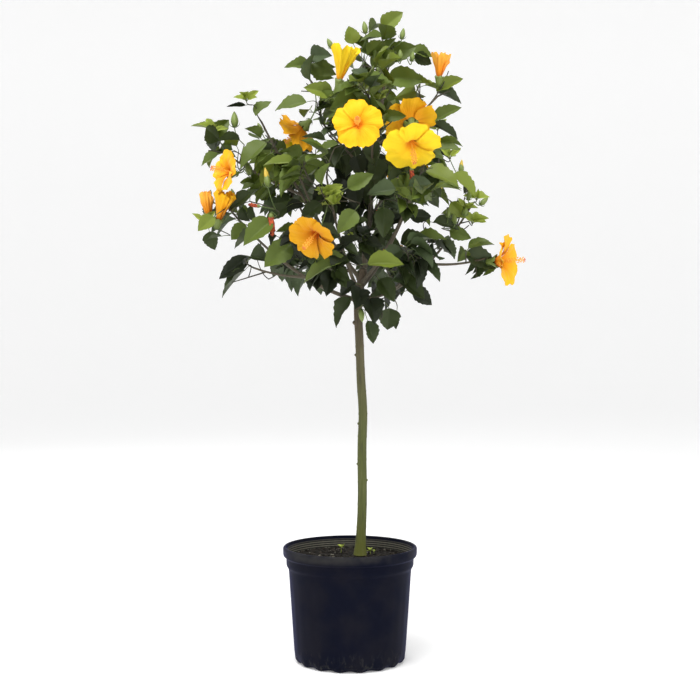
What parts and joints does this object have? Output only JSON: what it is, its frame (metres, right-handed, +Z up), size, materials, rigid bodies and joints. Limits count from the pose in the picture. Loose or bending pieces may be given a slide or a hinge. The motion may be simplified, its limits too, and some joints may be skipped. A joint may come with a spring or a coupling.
{
  "type": "potted hibiscus standard",
  "caption": "Hibiscus grown as a standard: a clear stem from a round nursery pot carries a loose round head of boughs, shiny leaves and open trumpet blossoms.",
  "frame": {"origin": "centre of the pot's flat underside, where it stands", "axes": "+Z up along the plant, +X to its right, -Y to its front"},
  "size_m": [0.7262, 0.5346, 1.358],
  "materials": {
    "pot": "moulded, satin",
    "soil": "moist bark mix",
    "bark": "smooth bark, faintly streaked",
    "foliage": "glossy leaves",
    "blossom": "soft matt petals"
  },
  "bodies": {
    "root": {"pot": "pot", "potting-mix": "soil", "trunk": "bark", "bough-right": "bark", "foliage-right": "foliage", "bough-left": "bark", "foliage-left": "foliage", "bough-front": "bark", "foliage-front": "foliage", "bough-back-left": "bark", "foliage-back-left": "foliage", "bough-back-right": "bark", "foliage-back-right": "foliage", "bough-left-upper": "bark", "foliage-left-upper": "foliage", "bough-front-right": "bark", "foliage-front-right": "foliage", "bough-top": "bark", "foliage-top": "foliage", "foliage-low-hanging": "foliage", "bough-right-tip": "bark", "foliage-right-tip": "foliage", "bough-right-low": "bark", "foliage-right-low": "foliage", "bough-left-low": "bark", "foliage-left-low": "foliage", "bough-front-low": "bark", "foliage-front-low": "foliage", "bough-back-low-left": "bark", "foliage-back-low-left": "foliage", "bough-back-low-right": "bark", "foliage-back-low-right": "foliage", "bough-left-outer": "bark", "foliage-left-outer": "foliage", "bough-inner-left": "bark", "foliage-inner-left": "foliage", "bough-front-upper": "bark", "foliage-front-upper": "foliage", "bough-back-upper": "bark", "foliage-back-upper": "foliage", "bough-inner-upper": "bark", "foliage-inner-upper": "foliage", "bough-inner-right": "bark", "foliage-inner-right": "foliage", "bough-inner-low": "bark", "foliage-inner-low": "foliage", "bough-left-top": "bark", "foliage-left-top": "foliage", "bough-right-top": "bark", "foliage-right-top": "foliage", "bough-front-top": "bark", "foliage-front-top": "foliage"}
  },
  "joints": []
}
